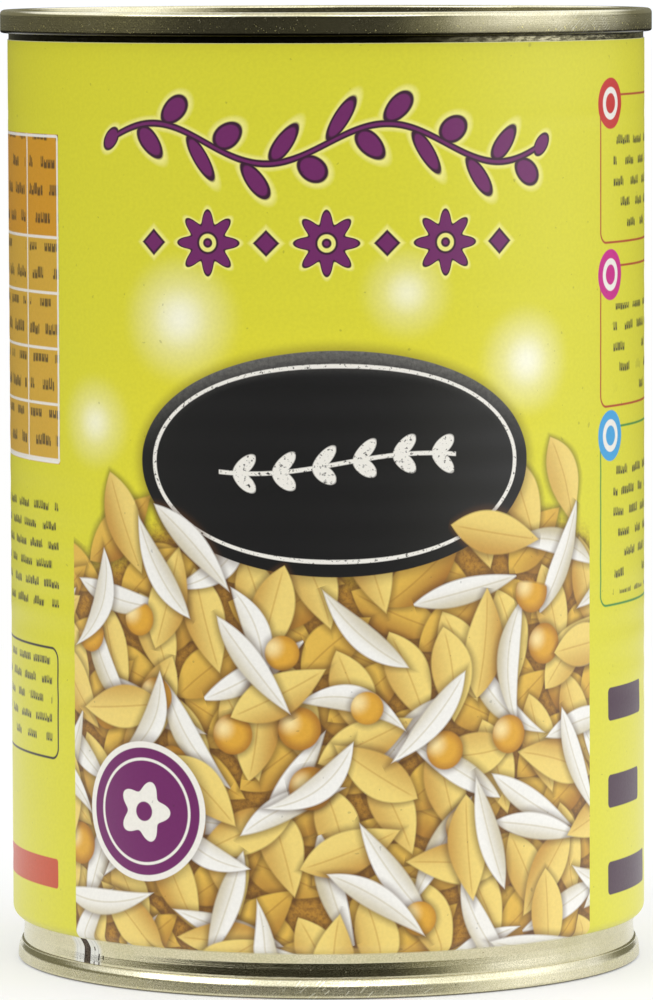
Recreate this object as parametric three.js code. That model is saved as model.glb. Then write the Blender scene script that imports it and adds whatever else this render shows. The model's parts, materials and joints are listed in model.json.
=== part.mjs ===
// A sealed 425 ml food tin: a beaded tinplate body with a narrower neck at its base,
// an end double-seamed on at each rim, and a paper label wrapped round it.
// Millimetres, +Z up, origin at the centre of the base. The label's front faces -Y.

import * as THREE from 'three';

// Overall sizes
const HEIGHT = 110;
const SEGMENTS = 48;
const BODY_PLATE = 0.17;
const END_PLATE = 0.2;
const PAPER = 0.09;
const SLIP = 0.03;

// Body
const BODY_RADIUS = 36.68;
const NECK_RADIUS = 35.49;
const SHOULDER_RADIUS = 1.1;
const SHOULDER_Z = 6.2;
const SHOULDER_TURN = [0, 30, 60, 70];
const NECK_TOP = { inset: 0.32, z: 5.1 };
const NECK_Z = 3.95;
const BEAD_DEPTH = 0.45;
const BEAD_PITCH = 3.94;
const BEAD_COUNT = 14;
const BEADS_TOP_Z = 81.2;
const LONE_BEADS_Z = [98, 12];
const LONE_BEAD_DEPTH = 0.35;
const LONE_BEAD_HALF = 1.2;

// Seams, with depths measured inward from the crest that the tin stands or stacks on
const TOP_SEAM = { radius: 37.65, length: 2.65, wall: BODY_RADIUS, crest: HEIGHT, inward: -1 };
const BOTTOM_SEAM = { radius: 36.24, length: 2.2, wall: NECK_RADIUS, crest: 0, inward: 1 };
const CREST_FLAT_INSET = 0.34;
const CREST_CORNER = { inset: 0.09, depth: 0.27 };
const CREST_DEPTH = 0.6;
const CURL_RISE = 0.65;
const CURL_CORNER = { inset: 0.1, rise: 0.3 };
const CURL_FLAT_INSET = { outer: 0.3, inner: 0.08 };
const COVER_HOOK_RISE = 0.35;
const COVER_HOOK_LENGTH = 1.0;
const COVER_HOOK_GAP = 0.05;
const FLANGE_CROWN_DEPTH = 0.52;
const FLANGE_CORNER = { inset: 0.07, drop: 0.1 };
const FLANGE_DROP = 0.33;
const FLANGE_END_GAP = 0.45;
const SEAL_DEPTHS = [0.24, 0.4];
const SEAL_INSET = 0.4;

// Ends, with depths measured inward from the seam's crest
const COUNTERSINK = { depth: 3.8, inset: 0.62, half: 0.32, rise: 0.2 };
const PANEL_DEPTHS = [2.3, 2.75, 3.2];
const PANEL_CORNER = { inset: 0.55, drop: 0.5 };
const PANEL_INSET = 1.25;
const RING_STEP = 0.8;
const RING_WIDTH = 4.1;

// Label and contents
const LABEL_TOP = 106.6;
const CONTENTS_TOP = 102;
const CONTENTS_BOTTOM = 4.15;
const CONTENTS_GAP = 0.2;
const CONTENTS_SHOULDER = [-0.5, 1];

const BODY_MIDDLE = BODY_RADIUS - BODY_PLATE / 2;
const NECK_MIDDLE = NECK_RADIUS - BODY_PLATE / 2;

const tinplate = { color: 0xb9b394, roughness: 0.32, metalness: 1 };
const sealant = { color: 0x4a4d50, roughness: 0.8, metalness: 0 };
const paper = { color: 0xd6cf48, roughness: 0.4, metalness: 0 };
const vegetables = { color: 0xe6dfc4, roughness: 0.5, metalness: 0 };

// The outline of a bent sheet: its middle line pushed out to both sides, mitred at the corners.
// It runs forward along the right side and back along the left.
function sheet(line, thickness) {
  const right = [];
  const left = [];
  line.forEach((point, i) => {
    const here = new THREE.Vector2(...point);
    const sides = [[i - 1, i], [i, i + 1]]
      .filter(([a, b]) => a >= 0 && b < line.length)
      .map(([a, b]) => new THREE.Vector2(...line[b]).sub(new THREE.Vector2(...line[a])).normalize())
      .map((along) => new THREE.Vector2(-along.y, along.x));
    const mitre = sides.reduce((sum, side) => sum.add(side), new THREE.Vector2()).normalize();
    const reach = thickness / 2 / mitre.dot(sides[sides.length - 1]);
    left.push(here.clone().addScaledVector(mitre, reach));
    right.push(here.clone().addScaledVector(mitre, -reach));
  });
  return [...right, ...left.reverse()];
}

// A closed outline of [radius, height] turned round the Z axis.
function turned(name, outline, look) {
  const points = outline.map((point) => new THREE.Vector2(point.x, point.y));
  if (points[0].x > 0) points.push(points[0].clone());
  const geometry = new THREE.LatheGeometry(points, SEGMENTS).rotateX(Math.PI / 2);
  const mesh = new THREE.Mesh(geometry, new THREE.MeshStandardMaterial(look));
  mesh.name = name;
  return mesh;
}

// Turns [radius, depth below the crest] into [radius, height].
function placed(seam, line) {
  return line.map(([radius, depth]) => [radius, seam.crest + seam.inward * depth]);
}

// The radii at the middle of each layer of a double seam, from the inside out.
function layers(seam) {
  const chuckWall = seam.wall - BODY_PLATE - SLIP - END_PLATE / 2;
  const coverHook = seam.wall + COVER_HOOK_GAP + END_PLATE / 2;
  const seamingWall = seam.radius - END_PLATE / 2;
  const bodyHook = (coverHook + seamingWall) / 2;
  return { chuckWall, bodyWall: seam.wall - BODY_PLATE / 2, coverHook, bodyHook, seamingWall };
}

// The body's flange, rolled outward and down into the seam, from its free edge to the wall.
function bodyFlange(seam) {
  const { bodyWall, bodyHook } = layers(seam);
  const { inset, drop } = FLANGE_CORNER;
  return placed(seam, [
    [bodyHook, seam.length - END_PLATE - FLANGE_END_GAP],
    [bodyHook, FLANGE_CROWN_DEPTH + FLANGE_DROP],
    [bodyHook - inset, FLANGE_CROWN_DEPTH + drop],
    [(bodyWall + bodyHook) / 2, FLANGE_CROWN_DEPTH],
    [bodyWall + inset, FLANGE_CROWN_DEPTH + drop],
    [bodyWall, FLANGE_CROWN_DEPTH + FLANGE_DROP],
  ]);
}

// The body wall between its flanges: beads, shoulder and neck, from the top down.
function bodyWallLine() {
  const line = [];
  const lone = (z) => line.push(
    [BODY_MIDDLE, z + LONE_BEAD_HALF],
    [BODY_MIDDLE - LONE_BEAD_DEPTH, z],
    [BODY_MIDDLE, z - LONE_BEAD_HALF],
  );
  lone(LONE_BEADS_Z[0]);
  for (let i = 0; i < BEAD_COUNT; i += 1) {
    const crest = BEADS_TOP_Z - i * BEAD_PITCH;
    line.push([BODY_MIDDLE, crest]);
    if (i < BEAD_COUNT - 1) line.push([BODY_MIDDLE - BEAD_DEPTH, crest - BEAD_PITCH / 2]);
  }
  lone(LONE_BEADS_Z[1]);
  for (const degrees of SHOULDER_TURN) {
    const turn = THREE.MathUtils.degToRad(degrees);
    line.push([
      BODY_MIDDLE - SHOULDER_RADIUS * (1 - Math.cos(turn)),
      SHOULDER_Z - SHOULDER_RADIUS * Math.sin(turn),
    ]);
  }
  line.push([NECK_MIDDLE + NECK_TOP.inset, NECK_TOP.z]);
  line.push([NECK_MIDDLE, NECK_Z]);
  return line;
}

function canBody() {
  const line = [...bodyFlange(TOP_SEAM), ...bodyWallLine(), ...bodyFlange(BOTTOM_SEAM).reverse()];
  return turned('can_body', sheet(line, BODY_PLATE), tinplate);
}

// The stepped panel and the countersink round it, from the axis to the chuck wall.
function endPanel(chuckWall) {
  const { depth, inset, half, rise } = COUNTERSINK;
  const countersink = chuckWall - inset;
  const panelEdge = countersink - PANEL_INSET;
  const line = [[0, PANEL_DEPTHS[2]]];
  for (const step of [2, 1]) {
    const ring = panelEdge - step * (RING_WIDTH + RING_STEP);
    line.push([ring, PANEL_DEPTHS[step]], [ring + RING_STEP, PANEL_DEPTHS[step - 1]]);
  }
  const bottom = depth - END_PLATE / 2;
  line.push(
    [panelEdge, PANEL_DEPTHS[0]],
    [countersink - PANEL_CORNER.inset, PANEL_DEPTHS[0] + PANEL_CORNER.drop],
    [countersink - half, bottom - rise],
    [countersink, bottom],
    [countersink + half, bottom - rise],
  );
  return line;
}

// The seam's outer skin: up the chuck wall, over the crest, down and round the curl to the hook's edge.
function seamSkin(seam) {
  const { chuckWall, coverHook, seamingWall } = layers(seam);
  const crest = END_PLATE / 2;
  const curl = seam.length - END_PLATE / 2;
  return [
    [chuckWall, seam.length - COVER_HOOK_RISE],
    [chuckWall, CREST_DEPTH],
    [chuckWall + CREST_CORNER.inset, CREST_CORNER.depth],
    [chuckWall + CREST_FLAT_INSET, crest],
    [seamingWall - CREST_FLAT_INSET, crest],
    [seamingWall - CREST_CORNER.inset, CREST_CORNER.depth],
    [seamingWall, CREST_DEPTH],
    [seamingWall, seam.length - CURL_RISE],
    [seamingWall - CURL_CORNER.inset, seam.length - CURL_CORNER.rise],
    [seamingWall - CURL_FLAT_INSET.outer, curl],
    [coverHook + CURL_FLAT_INSET.inner, curl],
    [coverHook, seam.length - COVER_HOOK_RISE],
    [coverHook, seam.length - COVER_HOOK_RISE - COVER_HOOK_LENGTH],
  ];
}

function seamedEnd(name, seam) {
  const line = [...endPanel(layers(seam).chuckWall), ...seamSkin(seam)];
  return turned(name, sheet(placed(seam, line), END_PLATE), tinplate);
}

// The sealing compound between the rolled flange and the crest.
function sealRing(name, seam) {
  const { chuckWall, seamingWall } = layers(seam);
  const middle = (SEAL_DEPTHS[0] + SEAL_DEPTHS[1]) / 2;
  const line = placed(seam, [[chuckWall + SEAL_INSET, middle], [seamingWall - SEAL_INSET, middle]]);
  return turned(name, sheet(line, SEAL_DEPTHS[1] - SEAL_DEPTHS[0]), sealant);
}

// The label hugs the body and is tucked in over the shoulder.
function paperLabel() {
  const offset = BODY_PLATE / 2 + SLIP + PAPER / 2;
  const radius = SHOULDER_RADIUS + offset;
  const centre = BODY_MIDDLE - SHOULDER_RADIUS;
  const line = [[centre + radius, LABEL_TOP]];
  for (const degrees of SHOULDER_TURN) {
    const turn = THREE.MathUtils.degToRad(degrees);
    line.push([centre + radius * Math.cos(turn), SHOULDER_Z - radius * Math.sin(turn)]);
  }
  return turned('paper_label', sheet(line, PAPER), paper);
}

// The packed vegetables and their water, with a headspace under the top end.
function contents() {
  const wide = BODY_MIDDLE - BODY_PLATE / 2 - BEAD_DEPTH - CONTENTS_GAP;
  const narrow = NECK_MIDDLE - BODY_PLATE / 2 - CONTENTS_GAP;
  const outline = [
    [0, CONTENTS_BOTTOM],
    [narrow, CONTENTS_BOTTOM],
    [narrow, SHOULDER_Z + CONTENTS_SHOULDER[0]],
    [wide, SHOULDER_Z + CONTENTS_SHOULDER[1]],
    [wide, CONTENTS_TOP],
    [0, CONTENTS_TOP],
  ];
  return turned('contents', outline.map((point) => new THREE.Vector2(...point)), vegetables);
}

const group = new THREE.Group();
group.add(
  canBody(),
  seamedEnd('top_end', TOP_SEAM),
  seamedEnd('bottom_end', BOTTOM_SEAM),
  sealRing('top_seal', TOP_SEAM),
  sealRing('bottom_seal', BOTTOM_SEAM),
  paperLabel(),
  contents(),
);

export default group;
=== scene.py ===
# A sealed food tin: a finely turned body and ends, and a paper label printed with a generic design.
# Sizes below are in millimetres and turned into metres where a mesh is made.
import json
import math

import bmesh
import bpy
import numpy as np
from mathutils import Matrix, Vector

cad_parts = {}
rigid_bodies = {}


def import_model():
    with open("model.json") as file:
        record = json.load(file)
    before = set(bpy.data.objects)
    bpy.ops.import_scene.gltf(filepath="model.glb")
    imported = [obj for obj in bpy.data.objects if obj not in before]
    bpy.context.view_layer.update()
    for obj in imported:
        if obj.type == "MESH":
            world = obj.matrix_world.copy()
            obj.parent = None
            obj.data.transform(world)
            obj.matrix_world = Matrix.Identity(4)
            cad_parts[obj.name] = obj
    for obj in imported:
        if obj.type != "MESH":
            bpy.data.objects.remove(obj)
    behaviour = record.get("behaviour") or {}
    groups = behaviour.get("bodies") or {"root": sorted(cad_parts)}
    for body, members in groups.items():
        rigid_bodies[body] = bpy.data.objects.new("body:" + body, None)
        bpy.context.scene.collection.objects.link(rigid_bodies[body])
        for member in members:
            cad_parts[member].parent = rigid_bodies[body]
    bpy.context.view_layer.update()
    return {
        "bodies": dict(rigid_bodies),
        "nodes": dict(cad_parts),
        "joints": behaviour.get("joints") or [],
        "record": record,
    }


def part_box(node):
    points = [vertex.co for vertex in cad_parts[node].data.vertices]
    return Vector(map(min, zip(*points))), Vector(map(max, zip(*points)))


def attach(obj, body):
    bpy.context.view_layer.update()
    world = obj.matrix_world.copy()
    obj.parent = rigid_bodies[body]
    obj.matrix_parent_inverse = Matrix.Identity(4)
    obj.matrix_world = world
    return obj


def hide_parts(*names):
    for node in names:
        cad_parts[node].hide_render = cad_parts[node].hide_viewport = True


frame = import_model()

MM = 0.001


def node_sizes(node):
    """The widest radius, lowest height and highest height of a node, in millimetres."""
    low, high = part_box(node)
    return high[0] / MM, low[2] / MM, high[2] / MM


TOP_SEAM_RADIUS, _, HEIGHT = node_sizes("top_end")
BOTTOM_SEAM_RADIUS = node_sizes("bottom_end")[0]
LABEL_RADIUS, _, LABEL_TOP = node_sizes("paper_label")

# Plates and paper
BODY_PLATE = 0.17
END_PLATE = 0.2
PAPER = 0.09
SLIP = 0.03

# Body
BODY_RADIUS = LABEL_RADIUS - PAPER - SLIP
SHOULDER_RADIUS = 1.1
SHOULDER_Z = 6.2
SHOULDER_TURN = math.radians(70)
# Down the neck, as (radius, height, fillet): in from the shoulder, then a little out again to the seam
NECK = ((35.74, 5.1, 0.12), (35.42, 3.95, 0.3), (35.45, 3.2, 0.8), (35.53, 2.4, 0.3))
BEAD_DEPTH = 0.45
BEAD_PITCH = 3.94
BEAD_COUNT = 14
BEADS_TOP_Z = 81.2
LONE_BEADS_Z = (98, 12)
LONE_BEAD_DEPTH = 0.35
LONE_BEAD_HALF = 1.2
BODY_MIDDLE = BODY_RADIUS - BODY_PLATE / 2

# Seams and ends, with depths measured inward from the seam's crest
TOP_SEAM = {
    "radius": TOP_SEAM_RADIUS, "length": 2.65, "wall": BODY_RADIUS, "crest": HEIGHT, "inward": -1,
    "turn": 0.42, "side": ((0, 1.3, 0), (0, 2.55, 0.2)), "hook": 1.8,
}
BOTTOM_SEAM = {
    "radius": BOTTOM_SEAM_RADIUS, "length": 2.2, "wall": 35.62, "crest": 0, "inward": 1,
    "turn": 0.24, "side": ((0, 0.35, 0.5), (0.11, 1.4, 0.8), (0.43, 2.05, 0.2)), "hook": 0.7,
}
HOOK_GAP = 0.02
FLANGE_GAP = 0.005
FLANGE_CROWN_DEPTH = 0.52
COVER_HOOK_LENGTH = 1.35
CHUCK_LEAN = 0.2
CHUCK_FILLETS = (0.6, 0.22)
COUNTERSINK = {"depth": 3.8, "inset": 0.62, "half": 0.36, "fillet": 0.32}
PANEL_DEPTHS = (2.3, 2.75, 3.2)
PANEL_INSET = 0.85
PANEL_FILLET = 0.5
RING_INSET = 0.4
RING_STEP = 0.8
RING_WIDTH = 4.1
RING_FILLET = 0.7

# Weld down the body, to the left of the front
WELD_ANGLE = math.radians(-50.5)
WELD_WIDTH = 1.15

# Wear on the seams: how far round from the front the middle of each patch is
BASE_SCRATCHES = 0.5
TOP_SCRATCHES = 33
TOP_FRAYING = -23

# Label
LABEL_BOTTOM = SHOULDER_Z - (SHOULDER_RADIUS + 0.15) * math.sin(SHOULDER_TURN)
LAP_START = math.radians(-112)
LAP_WIDTH = 8
LAP_RAMP = 3
RIPPLE = 0.035

# Print: the front and the back of the label each carry one copy of the design
COPY_HALF = math.pi * LABEL_RADIUS / 2
FIELD_HALF = 33.7
FIELD_TOP = 53
UNPRINTED_EDGE = 0.1

# Stage, in metres. Reflections see the floor only round the tin and behind it, as at a table's edge.
FLOOR_Z = -0.00005
TABLE_EDGE = 0.053
TABLE_RADIUS = 0.42
FLOOR_RADIUS = 6

# Camera, from a fit to the rims and the label's edges in the photograph, 653 by 1000 pixels
CAMERA_DISTANCE = 800.8
CAMERA_HEIGHT = 119.3
CAMERA_SIDE = -0.11
CAMERA_PITCH = math.radians(4.734)
CAMERA_ROLL = math.radians(-0.194)
CAMERA_LENS = 248.77


# Shapes

def rounded(corners, turn=math.radians(12), hold=0.06):
    """The line through (radius, height, fillet) corners, with each corner turned by an arc.

    A point is held close to both ends of an arc, so smooth shading leaves the straight stretches flat.
    """
    line = [np.array(corners[0][:2], float)]
    for before, corner, after in zip(corners, corners[1:], corners[2:]):
        here = np.array(corner[:2], float)
        back = np.array(before[:2]) - here
        onward = np.array(after[:2]) - here
        back_length, onward_length = np.linalg.norm(back), np.linalg.norm(onward)
        back, onward = back / back_length, onward / onward_length
        bend = math.pi - math.acos(np.clip(back @ onward, -1, 1))
        back_room = back_length / (2 if before[2] else 1)
        onward_room = onward_length / (2 if after[2] else 1)
        reach = min(corner[2] * math.tan(bend / 2), back_room, onward_room)
        if reach < 1e-4:
            line.append(here)
            continue
        radius = reach / math.tan(bend / 2)
        middle = (back + onward) / np.linalg.norm(back + onward)
        centre = here + middle * radius / math.cos(bend / 2)
        start, end = here + back * reach - centre, here + onward * reach - centre
        steps = max(2, math.ceil(bend / turn))
        if back_room - reach > 2 * hold:
            line.append(here + back * (reach + hold))
        for i in range(steps + 1):
            part = i / steps
            arm = math.sin((1 - part) * bend) * start + math.sin(part * bend) * end
            line.append(centre + arm / math.sin(bend))
        if onward_room - reach > 2 * hold:
            line.append(here + onward * (reach + hold))
    line.append(np.array(corners[-1][:2], float))
    return line


def sheet(line, thickness):
    """The outline of a bent sheet: its middle line pushed out to both sides and mitred."""
    points = np.array(line, float)
    along = np.diff(points, axis=0)
    along /= np.linalg.norm(along, axis=1)[:, None]
    side = np.stack([-along[:, 1], along[:, 0]], axis=1)
    before = np.vstack([side[:1], side])
    after = np.vstack([side, side[-1:]])
    mitre = before + after
    mitre /= np.linalg.norm(mitre, axis=1)[:, None]
    reach = thickness / 2 / np.sum(mitre * after, axis=1)
    offset = mitre * reach[:, None]
    return np.vstack([points - offset, (points + offset)[::-1]])


def turned(name, outline, angles, shape=None, open_ends=False):
    """A closed outline of (radius, height) swept round the Z axis. Angles grow from the front to +X."""
    outline = np.array(outline, float)
    columns, rows = len(angles), len(outline)
    angle = np.repeat(np.array(angles, float), rows)
    radius = np.tile(outline[:, 0], columns)
    height = np.tile(outline[:, 1], columns)
    if shape is not None:
        radius, height = shape(radius, height, angle)
    places = np.stack([radius * np.sin(angle), -radius * np.cos(angle), height], axis=1) * MM
    faces = []
    for i in range(columns - 1 if open_ends else columns):
        here, there = i * rows, (i + 1) % columns * rows
        for j in range(rows):
            k = (j + 1) % rows
            faces.append((here + j, there + j, there + k, here + k))
    if open_ends:
        last = (columns - 1) * rows
        for j in range(rows // 2 - 1):
            faces.append((j, j + 1, rows - 2 - j, rows - 1 - j))
            faces.append((last + j + 1, last + j, last + rows - 1 - j, last + rows - 2 - j))
    mesh = bpy.data.meshes.new(name)
    mesh.from_pydata(places.tolist(), [], faces)
    mesh.validate()
    piece = bpy.data.objects.new(name, mesh)
    bpy.context.collection.objects.link(piece)
    return piece


def weld_poles(piece):
    """Joins the points that lie on the axis and drops the faces that this leaves without area."""
    shape = bmesh.new()
    shape.from_mesh(piece.data)
    bmesh.ops.remove_doubles(shape, verts=shape.verts, dist=1e-7)
    bmesh.ops.dissolve_degenerate(shape, edges=shape.edges, dist=1e-8)
    shape.to_mesh(piece.data)
    shape.free()


def smooth(piece, angle=math.radians(35)):
    """Shades a piece smoothly, but for the edges that turn by more than the angle."""
    piece.data.polygons.foreach_set("use_smooth", [True] * len(piece.data.polygons))
    piece.data.set_sharp_from_angle(angle=angle)


def layers(seam):
    """The radii at the middle of each layer of a double seam."""
    chuck_wall = seam["wall"] - BODY_PLATE - SLIP - END_PLATE / 2
    cover_hook = seam["wall"] + HOOK_GAP + END_PLATE / 2
    seaming_wall = seam["radius"] - END_PLATE / 2
    body_hook = cover_hook + END_PLATE / 2 + BODY_PLATE / 2 + FLANGE_GAP
    return chuck_wall, seam["wall"] - BODY_PLATE / 2, cover_hook, body_hook, seaming_wall


def placed(seam, corners):
    """Turns (radius, depth below the seam's crest, fillet) into (radius, height, fillet)."""
    crest, inward = seam["crest"], seam["inward"]
    return [(radius, crest + inward * depth, fillet) for radius, depth, fillet in corners]


def seamed_end(name, seam):
    """An end: stepped panel, countersink, chuck wall, crest, seaming wall and the hook in the seam."""
    chuck_wall, _, cover_hook, _, seaming_wall = layers(seam)
    half, fillet = COUNTERSINK["half"], COUNTERSINK["fillet"]
    countersink = chuck_wall - CHUCK_LEAN - COUNTERSINK["inset"]
    bottom = COUNTERSINK["depth"] - END_PLATE / 2
    panel_edge = countersink - PANEL_INSET
    corners = [(0, PANEL_DEPTHS[2], 0)]
    for step in (2, 1):
        ring = panel_edge - RING_INSET - step * (RING_WIDTH + RING_STEP)
        corners.append((ring, PANEL_DEPTHS[step], RING_FILLET))
        corners.append((ring + RING_STEP, PANEL_DEPTHS[step - 1], RING_FILLET))
    crest = END_PLATE / 2
    curl = seam["side"][-1][1]
    corners += [
        (panel_edge, PANEL_DEPTHS[0], PANEL_FILLET),
        (countersink - half, bottom, fillet),
        (countersink + half, bottom, fillet),
        (chuck_wall - CHUCK_LEAN, seam["length"] - crest, CHUCK_FILLETS[0]),
        (chuck_wall, crest, CHUCK_FILLETS[1]),
        (seaming_wall, crest, seam["turn"]),
        *((seaming_wall - lean, depth, side_fillet) for lean, depth, side_fillet in seam["side"]),
        (cover_hook, curl, crest),
        (cover_hook, seam["length"] - COVER_HOOK_LENGTH, 0),
    ]
    outline = sheet(rounded(placed(seam, corners)), END_PLATE)
    piece = turned(name, outline, np.linspace(0, 2 * math.pi, 288, endpoint=False))
    weld_poles(piece)
    smooth(piece)
    return piece


def bead(z, depth, half, steps):
    """Points down one rolled groove in the body wall."""
    for i in range(steps + 1):
        part = i / steps
        yield BODY_MIDDLE - depth * math.sin(math.pi * part) ** 2, z + half - 2 * half * part, 0


def flange(seam):
    """The body's rim, rolled outward and back along the wall inside the seam."""
    _, body_wall, _, body_hook, _ = layers(seam)
    round_over = (body_hook - body_wall) / 2
    return placed(seam, [
        (body_hook, seam["hook"], 0),
        (body_hook, FLANGE_CROWN_DEPTH, round_over),
        (body_wall, FLANGE_CROWN_DEPTH, round_over),
    ])


def shoulder(middle, radius, steps):
    """Points round the turn from a straight wall in towards the neck."""
    for turn in np.linspace(0, SHOULDER_TURN, steps + 1):
        yield middle - radius + radius * math.cos(turn), SHOULDER_Z - radius * math.sin(turn)


def can_body():
    """The tube, from the top down: flange, beads, shoulder, neck and flange."""
    corners = flange(TOP_SEAM)
    corners += bead(LONE_BEADS_Z[0], LONE_BEAD_DEPTH, LONE_BEAD_HALF, 8)
    for i in range(BEAD_COUNT - 1):
        corners += list(bead(BEADS_TOP_Z - (i + 0.5) * BEAD_PITCH, BEAD_DEPTH, BEAD_PITCH / 2, 6))[:-1]
    corners += bead(LONE_BEADS_Z[1], LONE_BEAD_DEPTH, LONE_BEAD_HALF, 8)
    corners += [(radius, height, 0) for radius, height in shoulder(BODY_MIDDLE, SHOULDER_RADIUS, 10)]
    corners += NECK
    corners += flange(BOTTOM_SEAM)[::-1]
    outline = sheet(rounded(corners), BODY_PLATE)
    piece = turned("can_body_fine", outline, np.linspace(0, 2 * math.pi, 224, endpoint=False))
    smooth(piece)
    return piece


def groove(height, z, half):
    """How far into one rolled groove a height lies: 1 at its middle, 0 past its sides."""
    return np.cos(math.pi / 2 * np.clip((height - z) / half, -1, 1)) ** 2


def unroll(piece, columns, rows):
    """Lays the wrap flat for baking: the printed side takes most of the map, the rest thin strips."""
    half = rows // 2
    back, front = np.linspace(0, 0.05, half), np.linspace(0.08, 1, half)
    low = [*back[:-1], 0.056, *front[:-1], 0.066]
    high = [*back[1:], 0.062, *front[1:], 0.072]
    across = np.linspace(0, 1, columns)
    spots = []
    for left, right in zip(across, across[1:]):
        for under, over in zip(low, high):
            spots += [(left, under), (right, under), (right, over), (left, over)]
    for j in range(half - 1):
        left, right = j / half, (j + 1) / half
        spots += [(left, 0.074), (right, 0.074), (right, 0.0755), (left, 0.0755)]
        spots += [(right, 0.0765), (left, 0.0765), (left, 0.078), (right, 0.078)]
    piece.data.uv_layers.new(name="OFBake").data.foreach_set("uv", np.array(spots, float).ravel())


def label():
    """The paper wrap, one closed sheet round the body with its last edge lapped over its first."""
    middle = BODY_RADIUS + SLIP + PAPER / 2
    tuck = SHOULDER_RADIUS + middle - BODY_MIDDLE
    heights = np.linspace(LABEL_TOP, SHOULDER_Z, 170)
    line = [(middle, z) for z in heights] + list(shoulder(middle, tuck, 8))[1:]
    outline = sheet(line, PAPER)
    wrap = 2 * math.pi + LAP_WIDTH / LABEL_RADIUS
    angles = LAP_START + np.linspace(0, wrap, 240)
    lap_from = LAP_START + 2 * math.pi

    def lifted(radius, height, angle):
        rise = np.clip((angle - lap_from) * LABEL_RADIUS / LAP_RAMP + 1, 0, 1)
        rise = rise * rise * (3 - 2 * rise)
        sag = sum(groove(height, z, LONE_BEAD_HALF) for z in LONE_BEADS_Z)
        in_beads = (height < BEADS_TOP_Z) & (height > BEADS_TOP_Z - (BEAD_COUNT - 1) * BEAD_PITCH)
        sag = sag + in_beads * np.sin(math.pi * (BEADS_TOP_Z - height) / BEAD_PITCH) ** 2
        pull = 0.7 + 0.3 * np.sin(3 * angle + 0.11 * height)
        return radius + rise * (PAPER + 0.02) - RIPPLE * sag * pull, height

    piece = turned("paper_label_fine", outline, angles, lifted, open_ends=True)
    unroll(piece, len(angles), len(outline))
    piece.data.materials.append(printed_paper())
    piece.data.materials.append(label_back())
    front = len(line) - 1
    rows = len(outline)
    printed = [front < index % rows < rows - 1 for index in range((len(angles) - 1) * rows)]
    sides = [0 if outside else 1 for outside in printed]
    sides += [1] * (len(piece.data.polygons) - len(sides))
    piece.data.polygons.foreach_set("material_index", sides)
    smooth(piece)
    return piece


# Node arithmetic

class Signal:
    """A value running through a material's nodes. Arithmetic on it adds Math nodes."""

    def __init__(self, tree, socket):
        self.tree, self.socket = tree, socket

    def __add__(self, other):
        return maths("ADD", self, other)

    def __sub__(self, other):
        return maths("SUBTRACT", self, other)

    def __rsub__(self, other):
        return maths("SUBTRACT", other, self)

    def __mul__(self, other):
        return maths("MULTIPLY", self, other)

    def __truediv__(self, other):
        return maths("DIVIDE", self, other)

    def __mod__(self, other):
        return maths("FLOORED_MODULO", self, other)

    def __abs__(self):
        return maths("ABSOLUTE", self)

    __radd__ = __add__
    __rmul__ = __mul__


def feed(slot, term):
    """Gives a node's input a signal or a fixed value."""
    if isinstance(term, Signal):
        term.tree.links.new(term.socket, slot)
    else:
        slot.default_value = term


def fed(kind, operation, terms):
    """A new maths node with its inputs fed."""
    tree = next(term.tree for term in terms if isinstance(term, Signal))
    node = tree.nodes.new(kind)
    node.operation = operation
    for slot, term in zip(node.inputs, terms):
        feed(slot, term)
    return node


def maths(operation, *terms):
    """One operation of the Math node."""
    node = fed("ShaderNodeMath", operation, terms)
    return Signal(node.id_data, node.outputs[0])


def vectors(operation, *terms):
    """One operation of the Vector Math node, which gives a number for a length and else a vector."""
    node = fed("ShaderNodeVectorMath", operation, terms)
    return Signal(node.id_data, node.outputs["Value" if operation == "LENGTH" else "Vector"])


def joined(x, y, z=0.0):
    """A vector made from its parts."""
    tree = next(term.tree for term in (x, y, z) if isinstance(term, Signal))
    node = tree.nodes.new("ShaderNodeCombineXYZ")
    for slot, term in zip(node.inputs, (x, y, z)):
        feed(slot, term)
    return Signal(tree, node.outputs[0])


def split(vector):
    """The three parts of a vector."""
    node = vector.tree.nodes.new("ShaderNodeSeparateXYZ")
    feed(node.inputs[0], vector)
    return [Signal(vector.tree, output) for output in node.outputs]


def ramp(signal, start, end, form="SMOOTHSTEP"):
    """0 where the signal is at start, 1 where it is at end, and clamped beyond them."""
    node = signal.tree.nodes.new("ShaderNodeMapRange")
    node.interpolation_type = form
    feed(node.inputs["Value"], signal)
    rising = start < end
    for name, value in zip(("From Min", "From Max", "To Min", "To Max"),
                           (min(start, end), max(start, end), 0 if rising else 1, 1 if rising else 0)):
        node.inputs[name].default_value = value
    return Signal(signal.tree, node.outputs[0])


def inside(distance, soft=0.06):
    """1 where a distance is below zero, 0 where it is above, with an edge as soft as print."""
    return ramp(distance, soft, -soft, "LINEAR")


def noise(place, scale, detail=2.0, roughness=0.5):
    """Smooth noise about 0.5, with the scale in features per mm."""
    node = place.tree.nodes.new("ShaderNodeTexNoise")
    feed(node.inputs["Vector"], place)
    for name, value in (("Scale", scale), ("Detail", detail), ("Roughness", roughness)):
        node.inputs[name].default_value = value
    return Signal(place.tree, node.outputs["Fac"])


def dice(cell, seed):
    """Four numbers from 0 to 1, drawn for each whole-numbered cell."""
    node = cell.tree.nodes.new("ShaderNodeTexWhiteNoise")
    node.noise_dimensions = "4D"
    feed(node.inputs["Vector"], cell)
    node.inputs["W"].default_value = seed
    return [Signal(cell.tree, node.outputs["Value"])] + split(Signal(cell.tree, node.outputs["Color"]))


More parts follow.
